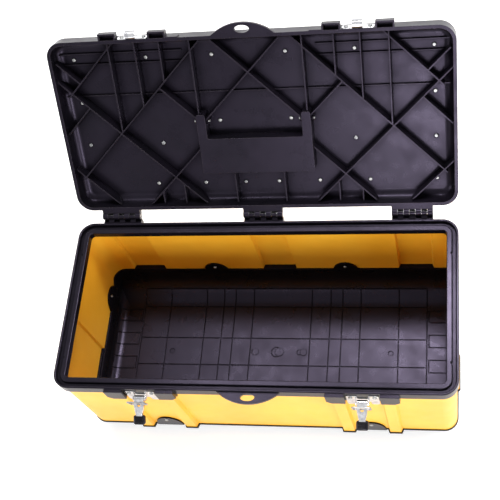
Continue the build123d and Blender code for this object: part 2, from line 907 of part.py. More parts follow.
# Steel plate on the outside of the lid
with BuildPart() as lid_plate:
    with BuildSketch(lid_level(panel_top)):
        plan(border_width + plate_gap)
        well_outline(-plate_gap, Mode.SUBTRACT)
        with Locations(*lid_rivet_places):
            Circle(rivet_shank + rivet_room, mode=Mode.SUBTRACT)
    extrude(amount=plate_thick)
save(lid_plate.part, "lid_plate")

lid_seats = []
for x, y in lid_rivet_places:
    lid_seats.append(
        Plane(
            origin=lid_frame.from_local_coords((x, y, panel_under)),
            x_dir=(1, 0, 0),
            z_dir=lid_frame.z_dir * -1,
        )
    )
save(rivet_group(lid_seats, panel_thick + plate_thick), "lid_rivets")

# Carrying handle, drawn hanging straight down from its pins with the lid open
handle_pin = lid_frame.from_local_coords((0, handle_pin_y, handle_pin_z))
handle_outer = well_half - well_wall - handle_side_gap
handle_inner = well_half - well_arm + well_wall + handle_side_gap
with BuildPart() as handle:
    with BuildSketch(Plane.XZ.offset(-handle_pin.Y)):
        for side in (-1, 1):
            middle = side * (handle_inner + handle_outer) / 2
            with Locations((middle, handle_pin.Z + handle_arm_wide / 2)):
                Rectangle(
                    handle_outer - handle_inner,
                    handle_reach + handle_arm_wide / 2,
                    align=(Align.CENTER, Align.MAX),
                )
    extrude(amount=handle_arm_thick / 2, both=True)
    ends = handle.edges().filter_by(Axis.X).group_by(Axis.Z)[-1]
    fillet(ends, handle_arm_thick / 2 - 0.2)
    with BuildSketch(side_plane(-handle_outer)):
        with Locations((handle_pin.Y, handle_pin.Z - handle_reach)):
            RectangleRounded(grip_thick, grip_wide, grip_round)
    extrude(amount=2 * handle_outer)
    with BuildSketch(side_plane(-handle_outer)):
        with Locations((handle_pin.Y, handle_pin.Z)):
            Circle(handle_pin_radius + running_gap)
    extrude(amount=2 * handle_outer, mode=Mode.SUBTRACT)
save(handle.part, "handle")

for side, name in ((-1, "handle_pin_left"), (1, "handle_pin_right")):
    with BuildPart() as pivot:
        with BuildSketch(side_plane(side * handle_pin_inner)):
            with Locations((handle_pin.Y, handle_pin.Z)):
                Circle(handle_pin_radius)
        extrude(amount=side * (handle_pin_outer - handle_pin_inner))
    save(pivot.part, name)

# Latches and keepers, one set on each side of the padlock eye
latch_seats = []
keeper_seats = []
along_y = cos(lever_rest)
along_z = sin(lever_rest)
for side, hand_name in ((-1, "left"), (1, "right")):
    middle = side * latch_x
    plate_top = rim_top - plate_top_drop
    plate_low = plate_top - plate_height

    # Pressed plate with a notch between two rounded wings, and two ears for the lever's pin
    with BuildPart() as latch_plate:
        with BuildSketch(front_plane(front_y)) as outline:
            with Locations((middle, plate_top)):
                Rectangle(2 * plate_half, plate_height, align=(Align.CENTER, Align.MAX))
                Rectangle(
                    2 * plate_notch_half,
                    plate_notch_deep,
                    align=(Align.CENTER, Align.MAX),
                    mode=Mode.SUBTRACT,
                )
            for hand in (-1, 1):
                with Locations((middle + hand * (plate_half + wing_inner) / 2, plate_low)):
                    Rectangle(plate_half - wing_inner, 2 * wing_leg)
            fillet(outline.vertices(), wing_leg / 4)
            for hand in (-1, 1):
                with Locations((middle + hand * latch_rivet_x, rim_top - latch_rivet_drop)):
                    Circle(rivet_shank + rivet_room, mode=Mode.SUBTRACT)
        extrude(amount=latch_sheet)
        for hand in (-1, 1):
            with BuildSketch(side_plane(middle + hand * ear_inner)):
                with Locations((lever_pin_y, lever_pin_z)):
                    Circle(ear_radius)
                Polygon(
                    (front_y - latch_sheet / 2, lever_pin_z - ear_radius),
                    (front_y - latch_sheet / 2, lever_pin_z + ear_radius),
                    (lever_pin_y, lever_pin_z + ear_radius),
                    (lever_pin_y, lever_pin_z - ear_radius),
                    align=None,
                )
                with Locations((lever_pin_y, lever_pin_z)):
                    Circle(lever_pin_radius, mode=Mode.SUBTRACT)
            extrude(amount=hand * latch_sheet)
    save(latch_plate.part, "latch_plate_" + hand_name)

    with BuildPart() as lever_pin:
        with BuildSketch(side_plane(middle)):
            with Locations((lever_pin_y, lever_pin_z)):
                Circle(lever_pin_radius)
        extrude(amount=ear_inner + latch_sheet, both=True)
    save(lever_pin.part, "lever_pin_" + hand_name)

    for hand in (-1, 1):
        seat_y = front_y - latch_sheet
        seat = moved_plane(front_plane(seat_y), middle + hand * latch_rivet_x, rim_top - latch_rivet_drop)
        latch_seats.append(seat)

    # Lever: a pressed channel drawn along its own length, with its pin hole at zero
    lever_side = Plane(
        origin=(middle, lever_pin_y, lever_pin_z),
        x_dir=(0, along_y, along_z),
        z_dir=(-1, 0, 0),
    )
    lever_top = Plane(
        origin=(middle, lever_pin_y, lever_pin_z),
        x_dir=(0, along_y, along_z),
        z_dir=lever_side.y_dir,
    )
    with BuildPart() as lever:
        with BuildSketch(lever_side):
            Circle(lever_crown)
            Polygon(
                (0, -lever_belly),
                (lever_length, -lever_belly * 0.6),
                (lever_length, lever_crown),
                (0, lever_crown),
                align=None,
            )
        extrude(amount=lever_half, both=True)
        with BuildSketch(lever_top.offset(-2 * lever_crown)):
            with BuildLine():
                Polyline(
                    (-2 * lever_crown, -lever_half),
                    (lever_slot_start + lever_slot_length, -lever_half),
                    (cap_start, -lever_neck_half),
                    (lever_length + 1, -lever_neck_half),
                    (lever_length + 1, lever_neck_half),
                    (cap_start, lever_neck_half),
                    (lever_slot_start + lever_slot_length, lever_half),
                    (-2 * lever_crown, lever_half),
                    close=True,
                )
            make_face()
        extrude(amount=4 * lever_crown, mode=Mode.INTERSECT)
        with BuildSketch(lever_side):
            Circle(lever_crown - lever_sheet)
            Polygon(
                (0, -2 * lever_crown),
                (cap_start - lever_sheet, -2 * lever_crown),
                (cap_start - lever_sheet, lever_crown - lever_sheet),
                (0, lever_crown - lever_sheet),
                align=None,
            )
        extrude(amount=lever_neck_half - lever_sheet, both=True, mode=Mode.SUBTRACT)
        with BuildSketch(lever_side):
            Circle(lever_crown - lever_sheet)
            Polygon(
                (0, -2 * lever_crown),
                (lever_slot_start + lever_slot_length, -2 * lever_crown),
                (lever_slot_start + lever_slot_length, lever_crown - lever_sheet),
                (0, lever_crown - lever_sheet),
                align=None,
            )
        extrude(amount=lever_half - lever_sheet, both=True, mode=Mode.SUBTRACT)
        with BuildSketch(lever_top):
            with Locations((lever_slot_start + lever_slot_length / 2, 0)):
                SlotOverall(lever_slot_length, 2 * lever_slot_half)
        extrude(amount=2 * lever_crown, mode=Mode.SUBTRACT)
        with BuildSketch(lever_side):
            Circle(lever_pin_radius + running_gap)
            with Locations((bail_arm * cos(radians(bail_lead)), bail_arm * sin(radians(bail_lead)))):
                Circle(wire_radius + running_gap)
        extrude(amount=2 * lever_half, both=True, mode=Mode.SUBTRACT)
    save(lever.part, "lever_" + hand_name)

    # Thumb cap pushed over the lever's end
    with BuildPart() as lever_cap:
        with BuildSketch(lever_side) as outline:
            with Locations((cap_start + cap_length / 2, (cap_above - cap_below) / 2)):
                RectangleRounded(cap_length, cap_above + cap_below, cap_round)
        extrude(amount=cap_half, both=True)
        fillet(lever_cap.edges().filter_by(facing(lever_top)), cap_round)
        add(lever.part, mode=Mode.SUBTRACT)
    save(lever_cap.part, "lever_cap_" + hand_name)

    # Wire bail: a closed loop whose inner bar turns in the lever
    stand = radians(bail_stand)
    bail_plane = Plane(
        origin=(middle, bail_pin_y, bail_pin_z),
        x_dir=(1, 0, 0),
        z_dir=(0, -sin(stand), cos(stand)),
    )
    with BuildPart() as bail:
        with BuildLine(bail_plane):
            FilletPolyline(
                (0, 0),
                (bail_half, 0),
                (bail_half, bail_length),
                (0, bail_length),
                radius=bail_corner,
            )
        with BuildSketch(side_plane(middle)):
            with Locations((bail_pin_y, bail_pin_z)):
                Circle(wire_radius)
        sweep()
        mirror(about=side_plane(middle))
    save(bail.part, "bail_" + hand_name)

    # Keeper: plate on the lid's front with a hook that opens upwards
    hook_plane = lid_side(middle - hook_half)
    with BuildPart() as keeper:
        with BuildSketch(lid_front(front_y)) as outline:
            with Locations((middle, keeper_bottom)):
                Rectangle(2 * keeper_half, keeper_height, align=(Align.CENTER, Align.MIN))
            fillet(outline.vertices(), keeper_height / 4)
            for hand in (-1, 1):
                with Locations((middle + hand * keeper_rivet_x, keeper_rivet_up)):
                    Circle(rivet_shank + rivet_room, mode=Mode.SUBTRACT)
        extrude(amount=keeper_sheet)
        with BuildSketch(hook_plane):
            with Locations((hook_y, hook_rise)):
                Circle(hook_inner + keeper_sheet)
                Rectangle(
                    2 * (hook_inner + keeper_sheet),
                    hook_tip,
                    align=(Align.CENTER, Align.MIN),
                )
                Circle(hook_inner, mode=Mode.SUBTRACT)
                Rectangle(
                    2 * hook_inner,
                    3 * hook_inner,
                    align=(Align.CENTER, Align.MIN),
                    mode=Mode.SUBTRACT,
                )
        extrude(amount=2 * hook_half)
    save(keeper.part, "keeper_" + hand_name)

    for hand in (-1, 1):
        seat_y = front_y - keeper_sheet
        keeper_seats.append(
            moved_plane(lid_front(seat_y), middle + hand * keeper_rivet_x, keeper_rivet_up)
        )

save(rivet_group(latch_seats, latch_rivet_grip), "latch_rivets")
save(rivet_group(keeper_seats, keeper_sheet + lid_lip), "keeper_rivets")
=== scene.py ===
import math

import bmesh
import bpy
import numpy as np
from mathutils import Matrix, Vector


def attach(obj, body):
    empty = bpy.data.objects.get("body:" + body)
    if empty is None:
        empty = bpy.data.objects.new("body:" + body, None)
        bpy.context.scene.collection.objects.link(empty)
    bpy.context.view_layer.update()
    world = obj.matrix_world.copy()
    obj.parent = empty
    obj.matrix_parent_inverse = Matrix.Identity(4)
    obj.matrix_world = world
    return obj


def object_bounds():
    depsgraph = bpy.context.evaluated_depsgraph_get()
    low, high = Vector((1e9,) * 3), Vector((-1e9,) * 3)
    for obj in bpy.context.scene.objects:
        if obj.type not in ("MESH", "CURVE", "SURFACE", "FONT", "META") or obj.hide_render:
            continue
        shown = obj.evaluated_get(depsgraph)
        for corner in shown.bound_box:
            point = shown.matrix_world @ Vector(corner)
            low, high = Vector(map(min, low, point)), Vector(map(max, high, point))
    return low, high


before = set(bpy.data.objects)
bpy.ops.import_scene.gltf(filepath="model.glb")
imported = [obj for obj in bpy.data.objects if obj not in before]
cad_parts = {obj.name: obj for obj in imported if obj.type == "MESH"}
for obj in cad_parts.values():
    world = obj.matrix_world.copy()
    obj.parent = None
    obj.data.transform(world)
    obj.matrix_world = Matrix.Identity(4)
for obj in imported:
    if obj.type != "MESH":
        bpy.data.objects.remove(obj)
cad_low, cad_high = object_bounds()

MM = 0.001
BLACK = "#000000"
WHITE = "#ffffff"
# A Mix node has sockets for each kind of value, so those for colours are picked by number
SHARE = 0
FROM_COLOUR = 6
TO_COLOUR = 7
MIXED_COLOUR = 2

scene = bpy.context.scene


def linear(code):
    """Linear colour with alpha 1 from an sRGB hex code."""
    parts = [int(code[i:i + 2], 16) / 255 for i in (1, 3, 5)]
    return [c / 12.92 if c <= 0.04045 else ((c + 0.055) / 1.055) ** 2.4 for c in parts] + [1.0]


def add(tree, kind, inputs=None, out=0, **settings):
    """Add a node, set its properties, set or link its inputs, and return one of its outputs."""
    node = tree.nodes.new(kind)
    for key, value in settings.items():
        setattr(node, key, value)
    for key, value in (inputs or {}).items():
        if isinstance(value, bpy.types.NodeSocket):
            tree.links.new(value, node.inputs[key])
        else:
            node.inputs[key].default_value = value
    return node.outputs[out] if len(node.outputs) else None


def new_material(name):
    """Empty node material, its tree and its object coordinates."""
    material = bpy.data.materials.new(name)
    material.use_nodes = True
    tree = material.node_tree
    tree.nodes.clear()
    return material, tree, add(tree, "ShaderNodeTexCoord", out="Object")


def per_mm(size):
    """Pattern scale at which one feature is about this many millimetres across."""
    return 1.0 / (size * MM)


def moulded_plastic(name, dark, light, sheen, worn_and_lit_edge, rough_low, rough_high, grain, corner):
    """Injection-moulded plastic from a spark-eroded tool, with painted shade in its grooves and corners,
    and edges painted paler, partly as rubbing wear and partly as a painted highlight.
    """
    # Sizes in millimetres. The specks are drawn coarser than real ones, so that they show
    cloud_width = 70.0
    speck_width = 1.1
    worn_width = 26.0
    groove_reach = 2.0
    nook_reach = 15.0
    edge_radius = 0.7
    grain_width = 0.7
    grain_depth = 0.05
    material, tree, place = new_material(name)

    # Clouds from the flow of the plastic, and pale specks
    clouds = add(tree, "ShaderNodeTexNoise", {"Vector": place, "Scale": per_mm(cloud_width), "Detail": 4.0})
    clouds = add(tree, "ShaderNodeMapRange", {"Value": clouds, "From Min": 0.35, "From Max": 0.65})
    specks = add(tree, "ShaderNodeTexNoise", {"Vector": place, "Scale": per_mm(speck_width), "Detail": 2.0})
    specks = add(tree, "ShaderNodeMapRange", {
        "Value": specks, "From Min": 0.58, "From Max": 0.72, "To Max": 0.22,
    })
    colour = add(tree, "ShaderNodeMix", {
        SHARE: clouds, FROM_COLOUR: linear(dark), TO_COLOUR: linear(light),
    }, MIXED_COLOUR, data_type="RGBA")
    colour = add(tree, "ShaderNodeMix", {
        SHARE: specks, FROM_COLOUR: colour, TO_COLOUR: linear(light),
    }, MIXED_COLOUR, data_type="RGBA")

    # Hand wear changes the gloss in patches
    wear = add(tree, "ShaderNodeTexNoise", {"Vector": place, "Scale": per_mm(worn_width), "Detail": 5.0})
    rough = add(tree, "ShaderNodeMapRange", {
        "Value": wear, "From Min": 0.3, "From Max": 0.7, "To Min": rough_low, "To Max": rough_high,
    })

    # Painted shade: ambient occlusion darkens the sheen in narrow grooves and deep corners, on top of the
    # shade the lamps cast
    groove = add(tree, "ShaderNodeAmbientOcclusion", {"Distance": groove_reach * MM}, "AO", samples=3)
    groove = add(tree, "ShaderNodeMapRange", {
        "Value": groove, "From Min": 0.72, "From Max": 0.97, "To Min": 0.06, "To Max": 1.0,
    })
    nook = add(tree, "ShaderNodeAmbientOcclusion", {"Distance": nook_reach * MM}, "AO", samples=3)
    # corner sets how much sheen the painted shade leaves in the deepest corners
    nook = add(tree, "ShaderNodeMapRange", {
        "Value": nook, "From Min": 0.35, "From Max": 0.95, "To Min": corner, "To Max": 1.0,
    })
    unshaded_share = add(tree, "ShaderNodeMath", {0: groove, 1: nook}, operation="MULTIPLY")
    # The sheen's tint carries the painted shade: black where occluded, full sheen on open faces
    tint = add(tree, "ShaderNodeMix", {
        SHARE: unshaded_share, FROM_COLOUR: linear(BLACK), TO_COLOUR: linear(sheen),
    }, MIXED_COLOUR, data_type="RGBA")

    # Edges are rounded, and painted paler where they stand out: partly rubbing wear, partly a painted
    # highlight along the crests
    soft = add(tree, "ShaderNodeBevel", {"Radius": edge_radius * MM}, samples=4)
    flat = add(tree, "ShaderNodeNewGeometry", out="True Normal")
    likeness = add(tree, "ShaderNodeVectorMath", {0: soft, 1: flat}, "Value", operation="DOT_PRODUCT")
    edge = add(tree, "ShaderNodeMapRange", {"Value": likeness, "From Min": 0.97, "From Max": 0.80})
    edge = add(tree, "ShaderNodeMath", {0: edge, 1: unshaded_share}, operation="MULTIPLY")
    # The paler edge colour is partly wear and partly a painted highlight
    colour = add(tree, "ShaderNodeMix", {
        SHARE: edge, FROM_COLOUR: colour, TO_COLOUR: linear(worn_and_lit_edge),
    }, MIXED_COLOUR, data_type="RGBA")

    # Grain of the spark-eroded tool
    grains = add(tree, "ShaderNodeTexVoronoi", {"Vector": place, "Scale": per_mm(grain_width)}, "Distance")
    normal = add(tree, "ShaderNodeBump", {
        "Height": grains, "Distance": grain_depth * MM, "Strength": grain, "Normal": soft,
    })
    shader = add(tree, "ShaderNodeBsdfPrincipled", {
        "Base Color": colour, "Roughness": rough, "Normal": normal, "IOR": 1.49,
        "Specular IOR Level": 0.22, "Specular Tint": tint,
    })
    add(tree, "ShaderNodeOutputMaterial", {"Surface": shader})
    return material


def painted_steel(name, deep, fresh):
    """Golden powder coat on sheet steel: orange peel, slight changes of shade, satin surface."""
    # Sizes in millimetres. The dust nibs are drawn coarser than real ones, so that they show
    shade_width = 120.0
    dust_width = 2.4
    worn_width = 18.0
    edge_radius = 0.8
    peel_width = 2.2
    peel_depth = 0.08
    material, tree, place = new_material(name)

    # Slow drift of the shade, and dust nibs
    shade = add(tree, "ShaderNodeTexNoise", {"Vector": place, "Scale": per_mm(shade_width), "Detail": 3.0})
    shade = add(tree, "ShaderNodeMapRange", {"Value": shade, "From Min": 0.35, "From Max": 0.65})
    dust = add(tree, "ShaderNodeTexNoise", {"Vector": place, "Scale": per_mm(dust_width), "Detail": 2.0})
    dust = add(tree, "ShaderNodeMapRange", {
        "Value": dust, "From Min": 0.62, "From Max": 0.75, "To Max": 0.12,
    })
    colour = add(tree, "ShaderNodeMix", {
        SHARE: shade, FROM_COLOUR: linear(deep), TO_COLOUR: linear(fresh),
    }, MIXED_COLOUR, data_type="RGBA")
    colour = add(tree, "ShaderNodeMix", {
        SHARE: dust, FROM_COLOUR: colour, TO_COLOUR: linear(deep),
    }, MIXED_COLOUR, data_type="RGBA")

    # Wear changes the gloss in patches
    wear = add(tree, "ShaderNodeTexNoise", {"Vector": place, "Scale": per_mm(worn_width), "Detail": 4.0})
    rough = add(tree, "ShaderNodeMapRange", {
        "Value": wear, "From Min": 0.3, "From Max": 0.7, "To Min": 0.48, "To Max": 0.58,
    })

    # Orange peel over rounded folds
    peel = add(tree, "ShaderNodeTexNoise", {"Vector": place, "Scale": per_mm(peel_width), "Detail": 2.0})
    soft = add(tree, "ShaderNodeBevel", {"Radius": edge_radius * MM}, samples=4)
    normal = add(tree, "ShaderNodeBump", {
        "Height": peel, "Distance": peel_depth * MM, "Strength": 0.16, "Normal": soft,
    })
    shader = add(tree, "ShaderNodeBsdfPrincipled", {
        "Base Color": colour, "Roughness": rough, "Normal": normal, "IOR": 1.5,
        "Coat Weight": 0.45, "Coat Roughness": 0.40,
    })
    add(tree, "ShaderNodeOutputMaterial", {"Surface": shader})
    return material


def bright_metal(name, dull, bright, rough_low, rough_high, scratch):
    """Plated or bare bright steel: faint stain, drawn lines and softened edges."""
    # Sizes in millimetres
    stain_width = 9.0
    worn_width = 3.0
    line_length = 4.0
    line_slimness = 14.0
    line_depth = 0.02
    edge_radius = 0.35
    material, tree, place = new_material(name)

    # Faint stain, and gloss that changes from place to place
    stain = add(tree, "ShaderNodeTexNoise", {"Vector": place, "Scale": per_mm(stain_width), "Detail": 4.0})
    stain = add(tree, "ShaderNodeMapRange", {"Value": stain, "From Min": 0.3, "From Max": 0.7})
    colour = add(tree, "ShaderNodeMix", {
        SHARE: stain, FROM_COLOUR: linear(dull), TO_COLOUR: linear(bright),
    }, MIXED_COLOUR, data_type="RGBA")
    wear = add(tree, "ShaderNodeTexNoise", {"Vector": place, "Scale": per_mm(worn_width), "Detail": 3.0})
    rough = add(tree, "ShaderNodeMapRange", {
        "Value": wear, "From Min": 0.3, "From Max": 0.7, "To Min": rough_low, "To Max": rough_high,
    })

    # Lines drawn along the length of the steel
    drawn = add(tree, "ShaderNodeMapping", {"Vector": place, "Scale": (1.0, line_slimness, line_slimness)})
    lines = add(tree, "ShaderNodeTexNoise", {"Vector": drawn, "Scale": per_mm(line_length), "Detail": 3.0})
    soft = add(tree, "ShaderNodeBevel", {"Radius": edge_radius * MM}, samples=4)
    normal = add(tree, "ShaderNodeBump", {
        "Height": lines, "Distance": line_depth * MM, "Strength": scratch, "Normal": soft,
    })
    shader = add(tree, "ShaderNodeBsdfPrincipled", {
        "Base Color": colour, "Roughness": rough, "Normal": normal, "Metallic": 1.0,
    })
    add(tree, "ShaderNodeOutputMaterial", {"Surface": shader})
    return material


# Black polypropylene, moulded: near black, with a soft violet-grey sheen under the lamps
plastic_lid = moulded_plastic(
    "black_polypropylene_lid", dark="#0b0a0e", light="#120f16", sheen="#e6d6ff", worn_and_lit_edge="#4c4648",
    rough_low=0.24, rough_high=0.35, grain=0.16, corner=0.30,
)
# The same plastic where hands and tools polish it: a little glossier
plastic_rim = moulded_plastic(
    "black_polypropylene_rim", dark="#0a090c", light="#100e13", sheen="#e6d6ff", worn_and_lit_edge="#2c292d",
    rough_low=0.18, rough_high=0.26, grain=0.14, corner=0.25,
)
# The same plastic on the floor, scuffed: a broader, duller sheen
plastic_tray = moulded_plastic(
    "black_polypropylene_tray", dark="#0a090c", light="#100e13", sheen="#e6d6ff", worn_and_lit_edge="#242226",
    rough_low=0.24, rough_high=0.36, grain=0.14, corner=0.20,
)
# Softer plastic pushed over the levers' ends: smooth and deep black
plastic_cap = moulded_plastic(
    "black_vinyl_thumb_cap", dark="#08080a", light="#0d0c0f", sheen="#f4eeff", worn_and_lit_edge="#2c292d",
    rough_low=0.14, rough_high=0.20, grain=0.06, corner=0.60,
)
# Powder coat on sheet steel: warm golden yellow, satin with a slight peel
yellow = painted_steel("yellow_powder_coat_on_steel", deep="#efaa1c", fresh="#f8b92d")
# Chrome plate on stamped steel: sharp light and dark reflections
chrome = bright_metal(
    "chrome_plated_steel", dull="#adadb2", bright="#e4e4e6", rough_low=0.05, rough_high=0.11, scratch=0.08,
)
# Zinc-plated wire, pins and rivets: grey, softly shining
zinc = bright_metal(
    "zinc_plated_steel", dull="#77787b", bright="#aeaeac", rough_low=0.26, rough_high=0.40, scratch=0.22,
)

# Wire loops, pins and rivets are zinc plated, and the other nodes are listed
looks = {
    "lid_shell": plastic_lid,
    "lid_ribs_rising": plastic_lid,
    "lid_ribs_falling": plastic_lid,
    "lid_ribs_upright": plastic_lid,
    "handle": plastic_lid,
    "rim_frame": plastic_rim,
    "base_tray": plastic_tray,
    "lever_cap_left": plastic_cap,
    "lever_cap_right": plastic_cap,
    "body_shell": yellow,
    "lid_plate": yellow,
    "latch_plate_left": chrome,
    "latch_plate_right": chrome,
    "keeper_left": chrome,
    "keeper_right": chrome,
    "lever_left": chrome,
    "lever_right": chrome,
}
for name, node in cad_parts.items():
    node.data.materials.clear()
    node.data.materials.append(looks.get(name, zinc))


def sized_tree(name, sizes):
    """Empty geometry tree with a named input for each size, and those inputs."""
    tree = bpy.data.node_groups.new(name, "GeometryNodeTree")
    tree.interface.new_socket("Geometry", in_out="INPUT", socket_type="NodeSocketGeometry")
    kinds = {int: "NodeSocketInt", float: "NodeSocketFloat"}
    for label, value in sizes.items():
        kind = kinds.get(type(value), "NodeSocketVector")
        tree.interface.new_socket(label, in_out="INPUT", socket_type=kind)
    tree.interface.new_socket("Geometry", in_out="OUTPUT", socket_type="NodeSocketGeometry")
    return tree, add(tree, "NodeGroupInput").node.outputs


def end_tree(tree, shapes, material):
    """Make the repeated shapes real, coat them and pass them out."""
    real = add(tree, "GeometryNodeRealizeInstances", {"Geometry": shapes})
    coated = add(tree, "GeometryNodeSetMaterial", {"Geometry": real, "Material": material})
    add(tree, "NodeGroupOutput", {"Geometry": coated})


def repeated_piece(name, tree, sizes, body, places=(), vectors=None):
    """Run a tree on a set of places, with named vectors at each, and keep a plain mesh on one body."""
    mesh = bpy.data.meshes.new(name + "_places")
    mesh.from_pydata([tuple(place) for place in places], [], [])
    for label, values in (vectors or {}).items():
        column = mesh.attributes.new(label, "FLOAT_VECTOR", "POINT")
        column.data.foreach_set("vector", [number for value in values for number in value])
    maker = bpy.data.objects.new(name + "_places", mesh)
    scene.collection.objects.link(maker)
    grow = maker.modifiers.new("grow", "NODES")
    grow.node_group = tree
    for item in tree.interface.items_tree:
        if item.in_out == "INPUT" and item.name in sizes:
            grow[item.identifier] = sizes[item.name]
    made = maker.evaluated_get(bpy.context.evaluated_depsgraph_get())
    result = bpy.data.meshes.new_from_object(made)
    maker.modifiers.remove(grow)
    bpy.data.objects.remove(maker)
    piece = bpy.data.objects.new(name, result)
    scene.collection.objects.link(piece)
    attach(piece, body)


def separate_solids(node_name):
    """Points of each separate solid in a node, as one array for each."""
    same_point = 0.001 * MM
    shape = bmesh.new()
    shape.from_mesh(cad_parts[node_name].data)
    bmesh.ops.remove_doubles(shape, verts=shape.verts, dist=same_point)
    unseen = dict.fromkeys(shape.verts)
    solids = []
    while unseen:
        first = next(iter(unseen))
        del unseen[first]
        island, queue = [first], [first]
        while queue:
            corner = queue.pop()
            for edge in corner.link_edges:
                other = edge.other_vert(corner)
                if other in unseen:
                    del unseen[other]
                    island.append(other)
                    queue.append(other)
        solids.append(np.array([corner.co[:] for corner in island]))
    shape.free()
    return solids


def rivet_heads(node_name):
    """Middle of each rivet's domed top and the way it faces, read from the rivets' node."""
    level_with_end = 0.01 * MM
    heads = []
    for points in separate_solids(node_name):
        middle = (points.min(axis=0) + points.max(axis=0)) / 2
        # A rivet is round, so its axis is the one direction whose spread differs from the other two
        spread, ways = np.linalg.eigh(np.cov((points - middle).T))
        odd = 2 if spread[2] - spread[1] > spread[1] - spread[0] else 0
        axis = ways[:, odd]
        along = (points - middle) @ axis
        away = np.linalg.norm(points - middle - np.outer(along, axis), axis=1)
        edge_up = away[along > along.max() - level_with_end].max()
        edge_down = away[along < along.min() + level_with_end].max()
        # The head's top is rounded, so its flat is narrower than the tail's
        sign = 1.0 if edge_up < edge_down else -1.0
        height = along.max() if sign > 0 else -along.min()
        heads.append((middle + sign * height * axis, sign * axis))
    return heads


# Broken-off mandrel in the middle of each rivet's head
mandrel_sizes = {"Mandrel radius": 1.0 * MM, "Mandrel rise": 0.45 * MM}
mandrel_tree, sizes_in = sized_tree("rivet_mandrels", mandrel_sizes)
ball = add(mandrel_tree, "GeometryNodeMeshUVSphere", {"Segments": 10, "Rings": 6, "Radius": 1.0})
facing = add(mandrel_tree, "GeometryNodeInputNamedAttribute", {"Name": "facing"}, data_type="FLOAT_VECTOR")
turned = add(mandrel_tree, "FunctionNodeAlignRotationToVector", {"Vector": facing}, axis="Z")
stretch = add(mandrel_tree, "ShaderNodeCombineXYZ", {
    "X": sizes_in["Mandrel radius"], "Y": sizes_in["Mandrel radius"], "Z": sizes_in["Mandrel rise"],
})
balls = add(mandrel_tree, "GeometryNodeInstanceOnPoints", {
    "Points": sizes_in["Geometry"], "Instance": ball, "Rotation": turned, "Scale": stretch,
})
end_tree(mandrel_tree, balls, zinc)
riveted = {"lid": ("lid_rivets", "keeper_rivets"), "box": ("base_rivets", "latch_rivets")}
for body, groups in riveted.items():
    heads = [head for group in groups for head in rivet_heads(group)]
    tops = [top for top, way in heads]
    ways = [way for top, way in heads]
    repeated_piece(
        body + "_rivet_mandrels", mandrel_tree, mandrel_sizes, body, tops, {"facing": ways},
    )

# Grip ridges across each thumb cap's outer face
ridge_count = 4
ridge_pitch = 2.2 * MM
ridge_sink = 0.1 * MM
ridge_sizes = {
    "Ridge count": ridge_count, "Ridge radius": 0.6 * MM, "Ridge length": 10.4 * MM,
    "First ridge": (0.0, 0.0, 0.0), "Ridge step": (0.0, 0.0, 0.0),
}
ridge_tree, sizes_in = sized_tree("thumb_cap_ridges", ridge_sizes)
row = add(ridge_tree, "GeometryNodeMeshLine", {
    "Count": sizes_in["Ridge count"], "Start Location": sizes_in["First ridge"],
    "Offset": sizes_in["Ridge step"],
}, mode="OFFSET")
bar = add(ridge_tree, "GeometryNodeMeshCylinder", {
    "Vertices": 12, "Radius": sizes_in["Ridge radius"], "Depth": sizes_in["Ridge length"],
})
bars = add(ridge_tree, "GeometryNodeInstanceOnPoints", {
    "Points": row, "Instance": bar, "Rotation": (0.0, math.pi / 2, 0.0),
})
end_tree(ridge_tree, bars, plastic_cap)
upward = 0.5
same_way = 0.9999
across = Vector((1.0, 0.0, 0.0))
for side in ("left", "right"):
    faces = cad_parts["lever_cap_" + side].data.polygons
    rising = [face for face in faces if face.normal.z > upward]
    outward = max(rising, key=lambda face: face.area).normal.copy()
    outer = [face for face in faces if face.normal.dot(outward) > same_way]
    area = sum(face.area for face in outer)
    middle = sum((face.center * face.area for face in outer), Vector()) / area
    step = across.cross(outward) * ridge_pitch
    first = middle - (ridge_count - 1) / 2 * step - ridge_sink * outward
    own_sizes = {**ridge_sizes, "First ridge": tuple(first), "Ridge step": tuple(step)}
    repeated_piece("lever_cap_ridges_" + side, ridge_tree, own_sizes, "lever_" + side)

# Raised rings that the moulding tool's pins and gate leave on the tray's floor
ring_sizes = {"Ring radius": 4.4 * MM, "Ring thickness": 0.45 * MM}
ring_tree, sizes_in = sized_tree("tray_floor_rings", ring_sizes)
circle = add(ring_tree, "GeometryNodeCurvePrimitiveCircle", {
    "Resolution": 32, "Radius": sizes_in["Ring radius"],
})
bead = add(ring_tree, "GeometryNodeCurvePrimitiveCircle", {
    "Resolution": 8, "Radius": sizes_in["Ring thickness"],
})
ring = add(ring_tree, "GeometryNodeCurveToMesh", {"Curve": circle, "Profile Curve": bead})
widening = add(ring_tree, "GeometryNodeInputNamedAttribute", {"Name": "widening"}, data_type="FLOAT_VECTOR")
rings = add(ring_tree, "GeometryNodeInstanceOnPoints", {
    "Points": sizes_in["Geometry"], "Instance": ring, "Scale": widening,
})
end_tree(ring_tree, rings, plastic_tray)
floor_top = 3.0 * MM
# Each ring's place along the box in millimetres, and its width beside that of the smallest
ring_widths = {-43.0: 1.0, -5.0: 1.9, 34.0: 1.0}
ring_places = [(along * MM, 0.0, floor_top) for along in ring_widths]
ring_scales = [(width, width, 1.0) for width in ring_widths.values()]
repeated_piece(
    "tray_floor_rings", ring_tree, ring_sizes, "box", ring_places, {"widening": ring_scales},
)


def seen_white(tree):
    """One for rays from the camera, off shiny surfaces or through clear ones, else nothing."""
    path = add(tree, "ShaderNodeLightPath").node.outputs
    shiny = add(tree, "ShaderNodeMath", {
        0: path["Is Glossy Ray"], 1: path["Is Transmission Ray"],
    }, operation="MAXIMUM")
    return add(tree, "ShaderNodeMath", {0: path["Is Camera Ray"], 1: shiny}, operation="MAXIMUM")


